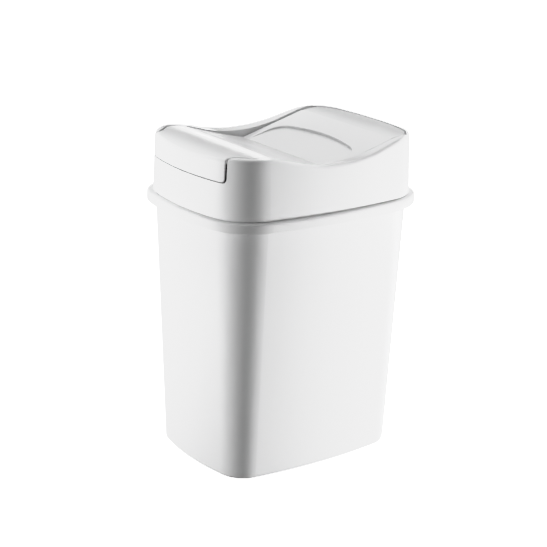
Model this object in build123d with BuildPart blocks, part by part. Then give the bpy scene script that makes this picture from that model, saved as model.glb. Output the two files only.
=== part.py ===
from build123d import *
import os

# Rectangular waste bin, 25 litre class: tapered bucket, lift-off lid hood with a saddle-shaped top,
# and a one-piece rocking flap with a front lip. Front (the lip side) faces -Y, +Z is up,
# the origin is at the middle of the base, on the surface it stands on. Millimetres.

# ---- driving dimensions -------------------------------------------------------------------------
WALL = 2.2                 # moulded wall of bucket and hood

# plan sections: overall width (X), overall depth (Y), corner radius
BASE = (212.2, 284.0, 39.0)          # bucket at the floor
NECK = (243.5, 315.4, 57.8)          # bucket just under its rim
RIM = (268.3, 340.1, 70.2)           # outside of the bucket's rolled rim
SEAM = (252.3, 324.1, 62.4)          # outside of the hood at the level of the rim
BOW_SIDE = 6.3                       # how far the two long sides belly outwards
BOW_END = 5.7                        # how far the front and the back belly outwards

RIM_TOP = 363.0
RIM_HEIGHT = 12.5
RIM_ROUND = 3.0
NECK_Z = RIM_TOP - RIM_HEIGHT
FLOOR = 2.6
FOOT_ROUND = 5.0
KICK_UP = 2.6                        # raised middle of the base, leaves a foot ring
FOOT_RING = 12.0

HOOD_DRAFT = 0.0381                  # how much each hood wall leans in, mm per mm of height
HOOD_EDGE = RIM_TOP + 2.0            # lower edge of the hood's visible wall, over a shadow gap
SHELF_Z = RIM_TOP + 0.3              # underside of the ledge the hood rests on
SHELF = 3.0
SHELF_IN = 1.6                       # the ledge is set back this far from the hood's face
PLUG_CLEAR = 0.9                     # hood skirt to the bucket's mouth
PLUG_DEPTH = 9.0
HOOD_TOP = 475.0                     # above the highest point of the saddle
CROWN_R = 5.0                        # rounding along the hood's top edge

SLIT = 3.0                           # gap round the flap
LIP_HALF = 85.8                      # half width of the notch in the hood's front wall
MOUTH_HALF = 103.5                   # half width of the hood's opening
SHOULDER = (-138.0, -118.0)          # y where the opening widens from the notch to its full width
SHOULDER_R = 12.0
SHOULDER_Z = 445.0                   # under this the notch stays narrow
NOTCH_Z = 410.6                      # sill of the notch
SILL_GAP = 0.8                       # lip to sill
NOTCH_R = 6.0
LIP_EDGE = 0.9                       # the lip is this thin along its two side edges
REAR_R = 53.9                        # corner radius of the flap's back edge
REAR_ROUND = 3.5                     # rounding along the flap's back edge
FLAP_EDGE = 1.2                      # rounding along the flap's long sides
BEAD_Z = (434.5, 441.5)              # the back wall thickens inwards between these heights
BEAD_Y = 131.0                       # from here to the back
BEAD_GAP = 0.9                       # bead to the flap's back edge
GUIDE = 2.0                          # walls hanging down on both sides of the opening
GUIDE_Z = 392.0

PIVOT_Y, PIVOT_Z = 4.1, 408.0
PIN_R = 3.5
PIN_CLEAR = 0.06
BOSS_R = 7.5

# saddle profile along the hood's outer edge (y, z), front to back
EDGE_CURVE = [(-190, 424.0), (-180, 428.5), (-170, 433.0), (-163, 436.0), (-156, 439.2), (-149, 441.7), (-142, 443.0),
              (-135, 443.6), (-128, 443.9), (-120, 443.9), (-111, 443.4), (-100, 442.4), (-87, 440.6), (-74, 438.0),
              (-60, 434.6), (-44, 431.0), (-28, 428.2), (-12, 426.7), (0, 426.4), (13, 426.5),
              (27, 427.1), (43, 429.0), (60, 431.9), (76, 435.3), (92, 438.6), (107, 441.1),
              (120, 442.3), (132, 442.8), (146, 442.7), (160, 442.3), (190, 440.5)]
# the same along the edge of the opening, where the band has dipped inwards
BAND_CURVE = [(-190, 423.8), (-180, 428.3), (-170, 432.8), (-163, 435.8), (-156, 439.0), (-149, 441.5), (-142, 442.8),
              (-135, 443.4), (-128, 443.7), (-120, 443.6), (-111, 443.0), (-100, 441.7), (-87, 439.4), (-74, 436.2),
              (-60, 432.0), (-44, 427.9), (-28, 425.0), (-12, 423.6), (0, 423.3), (13, 423.5),
              (27, 424.7), (43, 427.1), (60, 430.5), (76, 434.6), (92, 438.9), (107, 442.3),
              (120, 443.9), (132, 444.4), (146, 444.5), (160, 444.1), (190, 442.3)]
BAND_X = 102.0                       # x of the second profile
EDGE_X = 123.6                       # x of the first profile

# the flap's own dip: from the flush front wing to the valley and up the rear wing (y, z)
DIP = [(-190, 474.0), (-118, 448.2), (-107, 444.4), (-97, 441.7), (-90, 439.9), (-83, 438.1), (-75.8, 436.0),
       (-66.6, 433.2), (-57.5, 430.4), (-46.2, 427.1), (-37.1, 424.6), (-20.1, 420.2), (-8.5, 417.3), (PIVOT_Y, 414.1)]
REAR_SLOPE = 0.274
FLAP_SKIN = 2.2
# underside of the flap's side skirts (y, z), front to back
BELLY = [(-190, 360), (-190, NOTCH_Z + SILL_GAP), (-146, NOTCH_Z + SILL_GAP), (-126, 428.5), (-100, 429.5), (-70, 421.5),
         (-25, 407.0), (PIVOT_Y - 12, 402.5), (PIVOT_Y + 12, 402.5), (40, 412.0), (96, 429.0), (130, 431.5),
         (190, 431.5), (190, 360)]

# thumb recess in the rear wing
RECESS_HALF = 87.0                   # half width
RECESS_BACK = 69.6                   # y of its back edge on the centre line
RECESS_SIDE = 55.5                   # and at the sides, before rounding
RECESS_R = 24.0
RECESS_DEPTH = 3.8
RIM_EASE = 0.6                       # rounding of the recess's back edge


def plan(width, depth, radius):
    """Rounded rectangle with gently bowed sides, centred on the origin."""
    a = width / 2 - radius - BOW_SIDE
    b = depth / 2 - radius - BOW_END
    with BuildSketch() as section:
        with BuildLine():
            ThreePointArc((a, -b), (a + BOW_SIDE, 0), (a, b))
            ThreePointArc((a, b), (0, b + BOW_END), (-a, b))
            ThreePointArc((-a, b), (-a - BOW_SIDE, 0), (-a, -b))
            ThreePointArc((-a, -b), (0, -b - BOW_END), (a, -b))
        make_face()
        offset(amount=radius)
    return section.sketch


def grown(section, by):
    """The same section with every wall moved outwards by the given distance."""
    return (section[0] + 2 * by, section[1] + 2 * by, section[2] + by)


def bucket_at(z):
    k = z / NECK_Z
    return tuple(BASE[i] + (NECK[i] - BASE[i]) * k for i in range(3))


def hood_at(z):
    return grown(SEAM, -HOOD_DRAFT * (z - RIM_TOP))


def along(curve, y):
    """Smooth height at y on a curve given by points, and its slope there."""
    n = len(curve)
    slopes = []
    for i in range(n):
        lo, hi = curve[max(i - 1, 0)], curve[min(i + 1, n - 1)]
        slopes.append((hi[1] - lo[1]) / (hi[0] - lo[0]))
    i = 0
    while i < n - 2 and y > curve[i + 1][0]:
        i += 1
    (y0, z0), (y1, z1) = curve[i], curve[i + 1]
    h = y1 - y0
    t = (y - y0) / h
    z = ((2 * t**3 - 3 * t**2 + 1) * z0 + (t**3 - 2 * t**2 + t) * h * slopes[i]
         + (-2 * t**3 + 3 * t**2) * z1 + (t**3 - t**2) * h * slopes[i + 1])
    return z, (z1 - z0) / h


def saddle(x, y, thickness=0.0, rise=2.0):
    """Height of the hood's top surface, or of the surface a wall thickness under it."""
    outer, slope = along(EDGE_CURVE, y)
    inner, _ = along(BAND_CURVE, y)
    k = (max(0.0, abs(x) - 94.0) / (EDGE_X - 94.0)) ** 1.5
    lift = rise * (min(abs(x), 106.0) / 100.0) ** 2 * min(1.0, max(0.0, (y - 60.0) / 70.0))
    return inner + (outer - inner) * k + lift - thickness * (1 + slope**2) ** 0.5


def above_saddle(thickness=0.0, rise=2.0):
    """Everything over the top surface."""
    rows = [[Vector(-150 + 15 * i, -188 + 9.4 * j, saddle(-150 + 15 * i, -188 + 9.4 * j, thickness, rise))
             for j in range(41)] for i in range(21)]
    sheet = Face.make_surface_from_array_of_points(rows, tol=0.05, min_deg=3, max_deg=5)
    return Solid.extrude(sheet, (0, 0, 120))


over_top = above_saddle()
over_core = above_saddle(WALL)
over_wing = above_saddle(0.0, 0.0)    # the flap stays level where the hood's rear corners rise

# ---- bucket -------------------------------------------------------------------------------------
with BuildPart() as bucket:
    # rolled rim: a ledge with a skirt turned down, open underneath
    with BuildSketch(Plane.XY.offset(NECK_Z)):
        add(plan(*RIM))
    extrude(amount=RIM_HEIGHT)
    fillet(bucket.faces().sort_by(Axis.Z)[-1].edges(), RIM_ROUND)
    fillet(bucket.faces().sort_by(Axis.Z)[0].edges(), 0.8)
    with BuildSketch(Plane.XY.offset(NECK_Z)):
        add(plan(*grown(RIM, -WALL)))
    extrude(amount=RIM_HEIGHT - WALL, mode=Mode.SUBTRACT)
    # tapered wall
    with BuildSketch(Plane.XY):
        add(plan(*BASE))
    with BuildSketch(Plane.XY.offset(RIM_TOP - 0.8)):
        add(plan(*bucket_at(RIM_TOP - 0.8)))
    loft(ruled=True)
    fillet(bucket.faces().sort_by(Axis.Z)[0].edges(), FOOT_ROUND)
    # hollow
    with BuildSketch(Plane.XY.offset(FLOOR)):
        add(plan(*grown(bucket_at(FLOOR), -WALL)))
    with BuildSketch(Plane.XY.offset(RIM_TOP + 3)):
        add(plan(*grown(bucket_at(RIM_TOP + 3), -WALL)))
    loft(ruled=True, mode=Mode.SUBTRACT)
    # raised middle of the base
    with BuildSketch(Plane.XY.offset(FLOOR - 0.5)):
        add(plan(*grown(BASE, WALL - FOOT_RING)))
    extrude(amount=KICK_UP + 0.5)
    with BuildSketch(Plane.XY):
        add(plan(*grown(BASE, -FOOT_RING)))
    extrude(amount=KICK_UP, mode=Mode.SUBTRACT)

# ---- the hood's outside, and the hollow a wall thickness inside it -------------------------------
with BuildPart() as crown:
    with BuildSketch(Plane.XY.offset(HOOD_EDGE)):
        add(plan(*hood_at(HOOD_EDGE)))
    with BuildSketch(Plane.XY.offset(HOOD_TOP)):
        add(plan(*hood_at(HOOD_TOP)))
    loft(ruled=True)
    add(over_top, mode=Mode.SUBTRACT)
    fillet(crown.faces().sort_by(Axis.Z)[-1].edges(), CROWN_R)

with BuildPart() as core:
    with BuildSketch(Plane.XY.offset(HOOD_EDGE - 5)):
        add(plan(*grown(hood_at(HOOD_EDGE - 5), -WALL)))
    with BuildSketch(Plane.XY.offset(HOOD_TOP)):
        add(plan(*grown(hood_at(HOOD_TOP), -WALL)))
    loft(ruled=True)
    add(over_core, mode=Mode.SUBTRACT)
    fillet(core.faces().sort_by(Axis.Z)[-1].edges(), CROWN_R - WALL)

# ---- outline of the opening, seen from above -----------------------------------------------------
with BuildSketch() as mouth_plan:
    with BuildLine():
        Polyline((-LIP_HALF, -190), (LIP_HALF, -190), (LIP_HALF, SHOULDER[0]), (MOUTH_HALF, SHOULDER[1]), (MOUTH_HALF, 190),
                 (-MOUTH_HALF, 190), (-MOUTH_HALF, SHOULDER[1]), (-LIP_HALF, SHOULDER[0]), close=True)
    make_face()
    fillet(mouth_plan.vertices().filter_by(lambda v: abs(v.Y) < 189), SHOULDER_R)

flap_plan = offset(mouth_plan.sketch, amount=-SLIT, mode=Mode.PRIVATE)
flap_inner_plan = offset(mouth_plan.sketch, amount=-SLIT - FLAP_SKIN, mode=Mode.PRIVATE)
corner_x = SEAM[0] / 2 - SEAM[2] - BOW_SIDE
corner_y = SEAM[1] / 2 - SEAM[2] - BOW_END


def rear_outline(by=0.0):
    """Outline of the flap's back edge and corners, moved outwards by the given distance."""
    r = REAR_R + by
    return plan(2 * (corner_x + r + BOW_SIDE), 2 * (corner_y + r + BOW_END), r)


rear_plan = rear_outline()
rear_inner_plan = rear_outline(-FLAP_SKIN)

with BuildSketch() as recess_plan:
    with BuildLine():
        Polyline((-RECESS_HALF, RECESS_SIDE), (-RECESS_HALF, PIVOT_Y), (RECESS_HALF, PIVOT_Y), (RECESS_HALF, RECESS_SIDE))
        ThreePointArc((RECESS_HALF, RECESS_SIDE), (0, RECESS_BACK), (-RECESS_HALF, RECESS_SIDE))
    make_face()
    fillet(recess_plan.vertices().group_by(Axis.Y)[-1], RECESS_R)
pan_plan = offset(recess_plan.sketch, amount=FLAP_SKIN, mode=Mode.PRIVATE)

# ---- region that the opening takes out of the hood -----------------------------------------------
with BuildPart() as mouth:
    # through the top, up to the inner faces of the walls
    with BuildSketch(Plane.XY.offset(395)):
        add(plan(*grown(hood_at(395), -WALL)))
    with BuildSketch(Plane.XY.offset(HOOD_TOP)):
        add(plan(*grown(hood_at(HOOD_TOP), -WALL)))
    loft(ruled=True)
    # notch for the lip, through the front wall
    with BuildSketch(Plane.XZ.offset(100)) as notch_face:
        with Locations((0, (NOTCH_Z + 500) / 2)):
            Rectangle(2 * LIP_HALF, 500 - NOTCH_Z)
        fillet(notch_face.vertices().group_by(Axis.Y)[0], NOTCH_R)
        with Locations((0, 470)):
            Rectangle(2 * MOUTH_HALF, 2 * (470 - SHOULDER_Z))
    extrude(amount=90)
    with BuildSketch(Plane.XY.offset(380)):
        add(mouth_plan.sketch)
    extrude(amount=120, mode=Mode.INTERSECT)

# ---- hood ---------------------------------------------------------------------------------------
with BuildPart() as hollow:
    add(core.part)
    # the two guide walls stay
    with BuildSketch(Plane.XY.offset(GUIDE_Z)):
        with Locations((MOUTH_HALF + GUIDE / 2, 0), (-MOUTH_HALF - GUIDE / 2, 0)):
            Rectangle(GUIDE, 400)
    extrude(amount=90, mode=Mode.SUBTRACT)

with BuildPart() as bead_inside:
    with BuildSketch(Plane.XY.offset(BEAD_Z[0])):
        add(plan(*grown(hood_at(BEAD_Z[0]), -WALL)))
    with BuildSketch(Plane.XY.offset(BEAD_Z[1])):
        add(rear_outline(BEAD_GAP))
    loft(ruled=True)
    with BuildSketch(Plane.XY.offset(BEAD_Z[1])):
        add(rear_outline(BEAD_GAP))
    extrude(amount=40)

with BuildPart() as bead:
    add(crown.part)
    with BuildSketch(Plane.XY.offset(BEAD_Z[0])):
        with Locations((0, BEAD_Y + 50)):
            Rectangle(300, 100)
    extrude(amount=40, mode=Mode.INTERSECT)
    add(bead_inside.part, mode=Mode.SUBTRACT)

with BuildPart() as hood:
    add(crown.part)
    add(hollow.part, mode=Mode.SUBTRACT)
    add(mouth.part, mode=Mode.SUBTRACT)
    # ledge that rests on the rim
    with BuildSketch(Plane.XY.offset(SHELF_Z)):
        add(plan(*grown(hood_at(SHELF_Z), -SHELF_IN)))
        add(plan(*grown(bucket_at(RIM_TOP), -WALL - PLUG_CLEAR - 2.0)), mode=Mode.SUBTRACT)
    extrude(amount=SHELF)
    # skirt that plugs into the bucket's mouth
    with BuildSketch(Plane.XY.offset(SHELF_Z - PLUG_DEPTH)):
        add(plan(*grown(bucket_at(RIM_TOP), -WALL - PLUG_CLEAR)))
        add(plan(*grown(bucket_at(RIM_TOP), -WALL - PLUG_CLEAR - 2.0)), mode=Mode.SUBTRACT)
    extrude(amount=PLUG_DEPTH + SHELF)
    # thickened top of the back wall, which narrows the gap behind the flap
    add(bead.part)
    # sockets for the flap's stub axles
    with BuildSketch(Plane.YZ.offset(MOUTH_HALF + GUIDE - 0.5)):
        with Locations((PIVOT_Y, PIVOT_Z)):
            Circle(BOSS_R)
    extrude(amount=3.0)
    with BuildSketch(Plane.YZ.offset(-MOUTH_HALF - GUIDE + 0.5)):
        with Locations((PIVOT_Y, PIVOT_Z)):
            Circle(BOSS_R)
    extrude(amount=-3.0)
    with BuildSketch(Plane.YZ):
        with Locations((PIVOT_Y, PIVOT_Z)):
            Circle(PIN_R + PIN_CLEAR)
    extrude(amount=115, both=True, mode=Mode.SUBTRACT)

# ---- flap ---------------------------------------------------------------------------------------
JOIN_Y = 104.0                       # where the two halves of the flap's envelope meet
VALLEY = DIP[-1]
REAR_END = (190, VALLEY[1] + REAR_SLOPE * (190 - VALLEY[0]))
FLOOR_END_Z = VALLEY[1] + REAR_SLOPE * (RECESS_BACK - VALLEY[0]) - RECESS_DEPTH
FLOOR_SLOPE = (FLOOR_END_Z - VALLEY[1]) / (RECESS_BACK - VALLEY[0])
LIP_Z = NOTCH_Z + SILL_GAP

with BuildPart() as flap_hollow:
    add(core.part)
    with BuildSketch(Plane.XY.offset(370)):
        add(flap_inner_plan)
    extrude(amount=120, mode=Mode.INTERSECT)
    with BuildSketch(Plane.XY.offset(370)):
        add(rear_inner_plan)
        with Locations((0, -120)):
            Rectangle(240, 240)
    extrude(amount=120, mode=Mode.INTERSECT)
    # under the dip's skin
    with BuildSketch(Plane.YZ):
        with BuildLine():
            Spline(*[(y, z - 1.045 * FLAP_SKIN) for y, z in DIP])
            Polyline((VALLEY[0], VALLEY[1] - 1.045 * FLAP_SKIN), (190, REAR_END[1] - 1.045 * FLAP_SKIN), (190, 500),
                     (-190, 500), (DIP[0][0], DIP[0][1] - 1.045 * FLAP_SKIN))
        make_face()
    extrude(amount=140, both=True, mode=Mode.SUBTRACT)

with BuildPart() as pan:
    # sunken skin under the thumb recess
    with BuildSketch(Plane.XY.offset(395)):
        add(pan_plan)
    extrude(amount=60)
    with BuildSketch(Plane.YZ):
        with BuildLine():
            Polyline((VALLEY[0] - 12, VALLEY[1] - 1.04 * FLAP_SKIN - 12 * FLOOR_SLOPE),
                     (110, VALLEY[1] - 1.04 * FLAP_SKIN + FLOOR_SLOPE * (110 - VALLEY[0])), (110, 460),
                     (VALLEY[0] - 12, 460), close=True)
        make_face()
    extrude(amount=110, both=True, mode=Mode.INTERSECT)

with BuildPart() as recess:
    # what the thumb recess takes away, from nothing at the valley to full depth at the back
    with BuildSketch(Plane.XY.offset(395)):
        add(recess_plan.sketch)
    extrude(amount=60)
    with BuildSketch(Plane.YZ):
        with BuildLine():
            Polyline(VALLEY, (110, VALLEY[1] + FLOOR_SLOPE * (110 - VALLEY[0])), (110, 460), (VALLEY[0], 460), close=True)
        make_face()
    extrude(amount=110, both=True, mode=Mode.INTERSECT)

with BuildPart() as lip_limits:
    with BuildSketch(Plane.XZ.offset(145)) as lip_face:
        with Locations((0, (LIP_Z + 500) / 2)):
            Rectangle(2 * (LIP_HALF - SLIT), 500 - LIP_Z)
        fillet(lip_face.vertices().group_by(Axis.Y)[0], NOTCH_R - 1.0)
        with Locations((0, 470)):
            Rectangle(2 * MOUTH_HALF, 2 * (470 - SHOULDER_Z - 1.5))
    extrude(amount=45)
    with BuildSketch(Plane.XY.offset(360)):
        with Locations((0, 22.5)):
            Rectangle(240, 335)
    extrude(amount=140)

with BuildPart() as lip_relief:
    # behind the lip's two side edges: the skirts stop short of the lip, and the lip thins out
    with BuildSketch(Plane.XY.offset(400)):
        add(plan(*grown(hood_at(400), -LIP_EDGE)))
    with BuildSketch(Plane.XY.offset(436)):
        add(plan(*grown(hood_at(436), -LIP_EDGE)))
    loft(ruled=True)
    with BuildSketch(Plane.XY.offset(400)):
        with Locations((LIP_HALF - SLIT + 2, -159), (SLIT - LIP_HALF - 2, -159)):
            Rectangle(9, 40)
    extrude(amount=36, mode=Mode.INTERSECT)


def on_long_edge(edge):
    """Edges along the two long sides of the flap's top."""
    c = edge.position_at(0.5)
    wing = along(DIP, c.Y)[0] if c.Y < VALLEY[0] else VALLEY[1] + REAR_SLOPE * (c.Y - VALLEY[0])
    return (edge.length > 3 and abs(abs(c.X) - (MOUTH_HALF - SLIT)) < 0.3 and -122 < c.Y < 140
            and abs(c.Z - min(saddle(c.X, c.Y), wing)) < 1.2)


def on_recess_rim(edge):
    """The recess's curved back edge, on the rear wing's surface."""
    c, box = edge.position_at(0.5), edge.bounding_box()
    wing = VALLEY[1] + REAR_SLOPE * (c.Y - VALLEY[0])
    return (abs(c.Z - wing) < 0.3 and RECESS_SIDE - 25 < c.Y < RECESS_BACK + 0.5 and edge.length > 0.3
            and edge.geom_type != GeomType.LINE and max(abs(box.min.X), abs(box.max.X)) < RECESS_HALF + 0.2)


with BuildPart() as rear_wing:
    # back half of the flap's outside, with its back edge rounded over
    with BuildSketch(Plane.XY.offset(400)):
        add(rear_plan)
        add(flap_plan, mode=Mode.INTERSECT)
        with Locations((0, JOIN_Y + 100)):
            Rectangle(300, 200, mode=Mode.INTERSECT)
    extrude(amount=HOOD_TOP - 400)
    add(over_wing, mode=Mode.SUBTRACT)
    top = rear_wing.faces().sort_by(Axis.Z)[-1]
    fillet(top.edges().filter_by(lambda e: e.center().Y > JOIN_Y + 0.5), REAR_ROUND)

with BuildPart() as flap:
    add(crown.part)
    with BuildSketch(Plane.XY.offset(370)):
        add(flap_plan)
        with Locations((0, JOIN_Y - 150)):
            Rectangle(300, 300, mode=Mode.INTERSECT)
    extrude(amount=120, mode=Mode.INTERSECT)
    add(rear_wing.part)
    # dip and valley
    with BuildSketch(Plane.YZ):
        with BuildLine():
            Spline(*DIP)
            Polyline(VALLEY, REAR_END, (190, 500), (-190, 500), DIP[0])
        make_face()
    extrude(amount=140, both=True, mode=Mode.SUBTRACT)
    add(flap_hollow.part - pan.part, mode=Mode.SUBTRACT)
    # underside of the skirts
    with BuildSketch(Plane.YZ):
        with BuildLine():
            Polyline(*BELLY, close=True)
        make_face()
    extrude(amount=140, both=True, mode=Mode.SUBTRACT)
    add(lip_limits.part, mode=Mode.INTERSECT)
    # thumb recess
    add(recess.part, mode=Mode.SUBTRACT)
    # rounded long edges, and the recess's back edge
    fillet(flap.edges().filter_by(on_long_edge), FLAP_EDGE)
    fillet(flap.edges().filter_by(on_recess_rim), RIM_EASE)
    add(lip_relief.part, mode=Mode.SUBTRACT)
    # stub axles with a thrust collar
    with BuildSketch(Plane.YZ.offset(MOUTH_HALF - SLIT - 1.5)):
        with Locations((PIVOT_Y, PIVOT_Z)):
            Circle(PIN_R)
    extrude(amount=8.5)
    with BuildSketch(Plane.YZ.offset(MOUTH_HALF - SLIT - 1.5)):
        with Locations((PIVOT_Y, PIVOT_Z)):
            Circle(PIN_R + 1.3)
    extrude(amount=4.1)
    with BuildSketch(Plane.YZ.offset(-(MOUTH_HALF - SLIT - 1.5))):
        with Locations((PIVOT_Y, PIVOT_Z)):
            Circle(PIN_R)
    extrude(amount=-8.5)
    with BuildSketch(Plane.YZ.offset(-(MOUTH_HALF - SLIT - 1.5))):
        with Locations((PIVOT_Y, PIVOT_Z)):
            Circle(PIN_R + 1.3)
    extrude(amount=-4.1)
    chamfer(flap.edges().filter_by(GeomType.CIRCLE).filter_by(lambda e: abs(abs(e.center().X) - 107.5) < 0.1), 0.8)

for name, piece in (("bucket", bucket), ("hood", hood), ("flap", flap)):
    piece.part.label = name
os.makedirs("parts", exist_ok=True)
export_step(bucket.part, "parts/bucket.step")
export_step(hood.part, "parts/hood.step")
export_step(flap.part, "parts/flap.step")
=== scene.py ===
import math
import bpy
from mathutils import Matrix, Vector

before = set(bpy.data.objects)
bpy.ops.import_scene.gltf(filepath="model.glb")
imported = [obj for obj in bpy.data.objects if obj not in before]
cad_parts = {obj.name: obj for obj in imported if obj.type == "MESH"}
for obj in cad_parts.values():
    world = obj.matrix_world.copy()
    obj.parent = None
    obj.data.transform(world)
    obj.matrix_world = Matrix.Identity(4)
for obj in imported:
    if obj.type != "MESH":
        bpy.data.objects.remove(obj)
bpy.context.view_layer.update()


# ---- moulded plastic -----------------------------------------------------------------------------
def plastic(name, tone, rough, seed):
    """Glossy moulded white plastic: faint cloudiness, uneven polish, fine orange peel."""
    mat = bpy.data.materials.new(name)
    mat.use_nodes = True
    nodes, links = mat.node_tree.nodes, mat.node_tree.links
    bsdf = nodes["Principled BSDF"]
    where = nodes.new("ShaderNodeTexCoord")
    shift = nodes.new("ShaderNodeMapping")
    shift.inputs["Location"].default_value = (seed, seed * 0.7, seed * 1.3)
    links.new(where.outputs["Object"], shift.inputs["Vector"])

    def noise(scale, detail, roughness=0.5, squeeze=None):
        n = nodes.new("ShaderNodeTexNoise")
        n.inputs["Scale"].default_value = scale
        n.inputs["Detail"].default_value = detail
        n.inputs["Roughness"].default_value = roughness
        if squeeze:
            m = nodes.new("ShaderNodeMapping")
            m.inputs["Scale"].default_value = squeeze
            links.new(shift.outputs["Vector"], m.inputs["Vector"])
            links.new(m.outputs["Vector"], n.inputs["Vector"])
        else:
            links.new(shift.outputs["Vector"], n.inputs["Vector"])
        return n.outputs["Fac"]

    def ramp(source, stops):
        r = nodes.new("ShaderNodeValToRGB")
        els = r.color_ramp.elements
        els[0].position, els[0].color = stops[0][0], (*stops[0][1], 1)
        els[1].position, els[1].color = stops[-1][0], (*stops[-1][1], 1)
        for pos, col in stops[1:-1]:
            e = els.new(pos)
            e.color = (*col, 1)
        links.new(source, r.inputs["Fac"])
        return r.outputs["Color"]

    # colour: faint clouds plus a slow vertical flow of the melt
    cloud = noise(5.0, 3.0)
    flow = noise(9.0, 2.0, squeeze=(1.0, 1.0, 0.22))
    blend = nodes.new("ShaderNodeMath")
    blend.operation = "ADD"
    links.new(cloud, blend.inputs[0])
    links.new(flow, blend.inputs[1])
    half = nodes.new("ShaderNodeMath")
    half.operation = "MULTIPLY"
    half.inputs[1].default_value = 0.5
    links.new(blend.outputs[0], half.inputs[0])
    lo = tuple(c * 0.975 for c in tone)
    links.new(ramp(half.outputs[0], [(0.35, lo), (0.65, tone)]), bsdf.inputs["Base Color"])

    # polish: slightly uneven, with finer rubbed speckle
    coarse = noise(14.0, 4.0, 0.55)
    fine = noise(420.0, 2.0)
    mix = nodes.new("ShaderNodeMath")
    mix.operation = "MULTIPLY_ADD"
    mix.inputs[1].default_value = 0.35
    links.new(fine, mix.inputs[0])
    links.new(coarse, mix.inputs[2])
    span = nodes.new("ShaderNodeMapRange")
    span.inputs["From Min"].default_value = 0.4
    span.inputs["From Max"].default_value = 0.95
    span.inputs["To Min"].default_value = rough * 0.8
    span.inputs["To Max"].default_value = rough * 1.3
    links.new(mix.outputs[0], span.inputs["Value"])
    links.new(span.outputs["Result"], bsdf.inputs["Roughness"])

    # surface: orange peel over a very slow sink-mark wave
    peel = noise(700.0, 1.5)
    wave = noise(11.0, 1.0)
    bump1 = nodes.new("ShaderNodeBump")
    bump1.inputs["Strength"].default_value = 0.05
    bump1.inputs["Distance"].default_value = 0.0004
    links.new(peel, bump1.inputs["Height"])
    bump2 = nodes.new("ShaderNodeBump")
    bump2.inputs["Strength"].default_value = 0.12
    bump2.inputs["Distance"].default_value = 0.0015
    links.new(wave, bump2.inputs["Height"])
    links.new(bump1.outputs["Normal"], bump2.inputs["Normal"])
    links.new(bump2.outputs["Normal"], bsdf.inputs["Normal"])
    bsdf.inputs["IOR"].default_value = 1.49
    bsdf.inputs["Specular IOR Level"].default_value = 0.5
    return mat


WHITE = (0.86, 0.862, 0.865)
paint = {
    "bucket": plastic("bin_bucket_plastic", WHITE, 0.20, 0.0),
    "hood": plastic("bin_hood_plastic", WHITE, 0.16, 3.1),
    "flap": plastic("bin_flap_plastic", WHITE, 0.15, 7.7),
}
for node, mat in paint.items():
    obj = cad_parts[node]
    for s in obj.material_slots:
        s.material = mat
    if not obj.material_slots:
        obj.data.materials.append(mat)

# ---- floor and backdrop --------------------------------------------------------------------------
mesh = bpy.data.meshes.new("studio_floor")
size = 12.0
mesh.from_pydata([(-size, -size, 0), (size, -size, 0), (size, size, 0), (-size, size, 0)], [], [(0, 1, 2, 3)])
floor = bpy.data.objects.new("studio_floor", mesh)
bpy.context.scene.collection.objects.link(floor)
pale = bpy.data.materials.new("studio_floor_pale")
pale.use_nodes = True
pn, pl = pale.node_tree.nodes, pale.node_tree.links
n = pn["Principled BSDF"]
n.inputs["Base Color"].default_value = (0.9, 0.9, 0.9, 1)
n.inputs["Roughness"].default_value = 0.9
n.inputs["Specular IOR Level"].default_value = 0.1
n.inputs["Emission Color"].default_value = (1, 1, 1, 1)
lit = pn.new("ShaderNodeLightPath")
glow = pn.new("ShaderNodeMapRange")
glow.inputs["To Min"].default_value = 0.25
glow.inputs["To Max"].default_value = 2.6
pl.new(lit.outputs["Is Camera Ray"], glow.inputs["Value"])
pl.new(glow.outputs["Result"], n.inputs["Emission Strength"])
floor.data.materials.append(pale)
floor.location.z = -0.0002
floor.visible_diffuse = False

CAM_AZ = 53.914
ROOM, WALL, SKY = 0.19, 6.0, 1.12
world = bpy.data.worlds.new("studio")
bpy.context.scene.world = world
world.use_nodes = True
wn, wl = world.node_tree.nodes, world.node_tree.links
# a dim room with a lit white wall low down behind the object and a soft panel of light above it
bg = wn["Background"]
bg.inputs["Color"].default_value = (1, 1, 1, 1)
toward = wn.new("ShaderNodeTexCoord")


def along_direction(direction, low, high, start, end):
    """A value that goes smoothly from start to end as the ray turns towards a direction."""
    dot = wn.new("ShaderNodeVectorMath")
    dot.operation = "DOT_PRODUCT"
    dot.inputs[1].default_value = direction
    wl.new(toward.outputs["Generated"], dot.inputs[0])
    span = wn.new("ShaderNodeMapRange")
    span.interpolation_type = "SMOOTHSTEP"
    for socket, value in (("From Min", low), ("From Max", high), ("To Min", start), ("To Max", end)):
        span.inputs[socket].default_value = value
    wl.new(dot.outputs["Value"], span.inputs["Value"])
    return span.outputs["Result"]


def combine(operation, first, second):
    m = wn.new("ShaderNodeMath")
    m.operation = operation
    wl.new(first, m.inputs[0])
    wl.new(second, m.inputs[1])
    return m.outputs[0]


away = (-math.sin(math.radians(CAM_AZ)), math.cos(math.radians(CAM_AZ)), 0.0)
wall = combine("MULTIPLY", along_direction(away, 0.30, 0.80, 0.0, WALL), along_direction((0, 0, 1), 0.08, 0.15, 1.0, 0.0))
wall = combine("MULTIPLY", wall, along_direction((0, 0, 1), 0.03, 0.08, 0.0, 1.0))
glow = combine("MULTIPLY", along_direction(away, 0.20, 0.65, 0.0, SKY), along_direction((0, 0, 1), 0.22, 0.50, 0.0, 1.0))
glow = combine("MULTIPLY", glow, along_direction((0, 0, 1), 0.74, 0.88, 1.0, 0.0))
lit_room = wn.new("ShaderNodeMath")
lit_room.operation = "ADD"
lit_room.inputs[1].default_value = ROOM
wl.new(combine("ADD", wall, glow), lit_room.inputs[0])
wl.new(lit_room.outputs[0], bg.inputs["Strength"])
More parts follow.
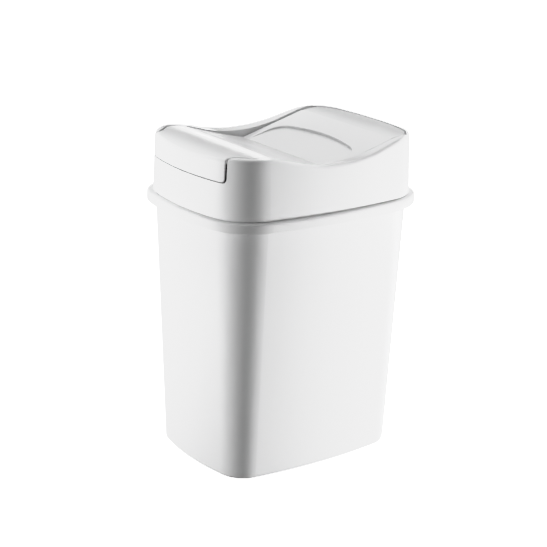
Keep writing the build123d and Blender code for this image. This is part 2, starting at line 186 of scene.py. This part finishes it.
# seen directly, the backdrop is plain white
seen = wn.new("ShaderNodeBackground")
seen.inputs["Strength"].default_value = 2.6
path = wn.new("ShaderNodeLightPath")
pick = wn.new("ShaderNodeMixShader")
wl.new(path.outputs["Is Camera Ray"], pick.inputs["Fac"])
wl.new(bg.outputs["Background"], pick.inputs[1])
wl.new(seen.outputs["Background"], pick.inputs[2])
wl.new(pick.outputs["Shader"], wn["World Output"].inputs["Surface"])


# ---- soft studio lights --------------------------------------------------------------------------

def around(azimuth, elevation, distance, target=(0, 0, 0.25)):
    a, e = math.radians(azimuth), math.radians(elevation)
    return Vector(target) + distance * Vector((math.sin(a) * math.cos(e), -math.cos(a) * math.cos(e), math.sin(e)))


def softbox(name, azimuth, elevation, distance, width, height, power, target=(0, 0, 0.25)):
    lamp = bpy.data.lights.new(name, "AREA")
    lamp.shape = "RECTANGLE"
    lamp.size, lamp.size_y = width, height
    lamp.energy = power
    obj = bpy.data.objects.new(name, lamp)
    bpy.context.scene.collection.objects.link(obj)
    obj.location = around(azimuth, elevation, distance, target)
    obj.rotation_euler = (Vector(target) - obj.location).to_track_quat("-Z", "Y").to_euler()
    return obj


softbox("side_right", CAM_AZ + 91, 0, 1.35, 0.5, 0.4, 36, (0, 0, 0.15)).visible_glossy = False
softbox("side_left", CAM_AZ - 80, 0, 0.82, 0.4, 0.3, 7.2, (0, 0, 0.36)).visible_glossy = False
softbox("top", CAM_AZ + 180, 80, 1.7, 1.0, 1.0, 11.8)

# ---- camera --------------------------------------------------------------------------------------
AZ, EL, ROLL = math.radians(53.914), math.radians(18.631), math.radians(1.591)
DEPTH = 0.340
back = Vector((math.sin(AZ) * math.cos(EL), -math.cos(AZ) * math.cos(EL), math.sin(EL)))
right = Vector((math.cos(AZ), math.sin(AZ), 0))
up = back.cross(right)
right2 = math.cos(ROLL) * right + math.sin(ROLL) * up
up2 = -math.sin(ROLL) * right + math.cos(ROLL) * up
eye = Vector((0, 0, 0.6991 * DEPTH)) + back * 6.296 * DEPTH
cam_data = bpy.data.cameras.new("camera")
cam_data.sensor_width = 36.0
cam_data.lens = 36.0 * 1556.5 / 547.0
cam_data.shift_x = (273.0 - 278.43) / 547.0
cam_data.shift_y = (276.89 - 273.0) / 547.0
cam_data.clip_start, cam_data.clip_end = 0.05, 60.0
cam_data.dof.use_dof = False
camera = bpy.data.objects.new("camera", cam_data)
bpy.context.scene.collection.objects.link(camera)
camera.matrix_world = Matrix((
    (right2.x, up2.x, back.x, eye.x),
    (right2.y, up2.y, back.y, eye.y),
    (right2.z, up2.z, back.z, eye.z),
    (0, 0, 0, 1)))
bpy.context.scene.camera = camera

# exposure: highlights roll off before they reach the white of the backdrop
TONE = [(0.0, 0.0), (0.30, 0.30), (0.60, 0.60), (0.80, 0.775), (0.95, 0.835), (1.15, 0.862), (1.5, 0.885), (1.8, 0.93),
        (2.2, 1.01), (2.6, 1.06)]
TONE_TOP = 2.6
view = bpy.context.scene.view_settings
view.view_transform = "Standard"
view.look = "None"
view.exposure = 0.0
view.gamma = 1.0
view.use_curve_mapping = True
tone = view.curve_mapping
tone.use_clip = False
tone.white_level = (TONE_TOP, TONE_TOP, TONE_TOP)
curve = tone.curves[3]
curve.points[0].location = (TONE[0][0] / TONE_TOP, TONE[0][1])
curve.points[1].location = (TONE[-1][0] / TONE_TOP, TONE[-1][1])
for x, y in TONE[1:-1]:
    curve.points.new(x / TONE_TOP, y)
tone.update()
